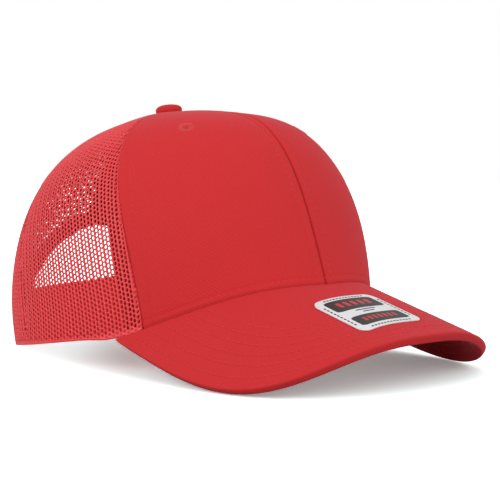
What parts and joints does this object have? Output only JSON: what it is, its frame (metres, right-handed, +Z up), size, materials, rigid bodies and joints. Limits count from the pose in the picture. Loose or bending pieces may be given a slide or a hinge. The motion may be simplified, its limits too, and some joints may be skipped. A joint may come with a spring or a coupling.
{
  "type": "trucker_mesh_cap",
  "caption": "Red trucker cap with twill front panels, mesh sides and back, a curved stitched visor, a covered top button and an adjustable plastic snap closure",
  "frame": {"origin": "Centre of the footprint of the resting cap, on the surface it rests on", "axes": "+Y points to the back of the cap and -Y to the visor, +X to the wearer's left, +Z up. The cap rests on its two visor tips and the back of its rim, so the crown leans back by 7.4 degrees"},
  "size_m": [0.1764, 0.2578, 0.1267],
  "materials": {
    "twill_front": "fine diagonal twill, matte with a soft sheen",
    "twill_visor": "fine diagonal twill with six rows of lockstitch",
    "mesh": "knitted polyester mesh with staggered oval holes about 1.4 mm wide",
    "buckram": "stiff open-weave cotton, off-white",
    "tape": "folded plain-weave tape, matte",
    "sweatband_twill": "brushed twill, matte",
    "foam": "thin laminated foam, matte",
    "label": "blank woven satin label",
    "board": "moulded polyethylene, hidden inside the visor",
    "foil": "metallised paper foil with printed bars, satin",
    "rivet": "pressed nickel-plated steel",
    "thread": "embroidered polyester thread, slight lustre",
    "snap_plastic": "flexible moulded plastic, satin"
  },
  "bodies": {
    "crown": {"front_panel_left": "twill_front", "front_panel_right": "twill_front", "side_mesh_left": "mesh", "side_mesh_right": "mesh", "back_mesh_left": "mesh", "back_mesh_right": "mesh", "front_buckram_left": "buckram", "front_buckram_right": "buckram", "front_centre_tape": "tape", "front_seam_tape_left": "tape", "front_seam_tape_right": "tape", "side_seam_tape_left": "tape", "side_seam_tape_right": "tape", "back_centre_tape": "tape", "arch_binding": "tape", "sweatband": "sweatband_twill", "sweatband_foam": "foam", "care_label": "label", "visor_top_cover": "twill_visor", "visor_bottom_cover": "twill_visor", "visor_board": "board", "visor_sticker": "foil", "top_button": "twill_front", "button_rivet": "rivet", "eyelet_left": "thread", "eyelet_right": "thread"},
    "hole_strap_body": {"hole_strap": "snap_plastic"},
    "peg_strap_body": {"peg_strap": "snap_plastic"}
  },
  "joints": [
    {"name": "hole_strap_bend", "type": "hinge", "parent": "crown", "child": "hole_strap_body", "pos_m": [0.04866, 0.11157, 0.01037], "axis": [0, -0.1288, -0.9917], "range_deg": [0, 65]},
    {"name": "peg_strap_bend", "type": "hinge", "parent": "crown", "child": "peg_strap_body", "pos_m": [-0.05175, 0.10522, 0.01134], "axis": [0, -0.1288, -0.9917], "range_deg": [0, 45]}
  ]
}
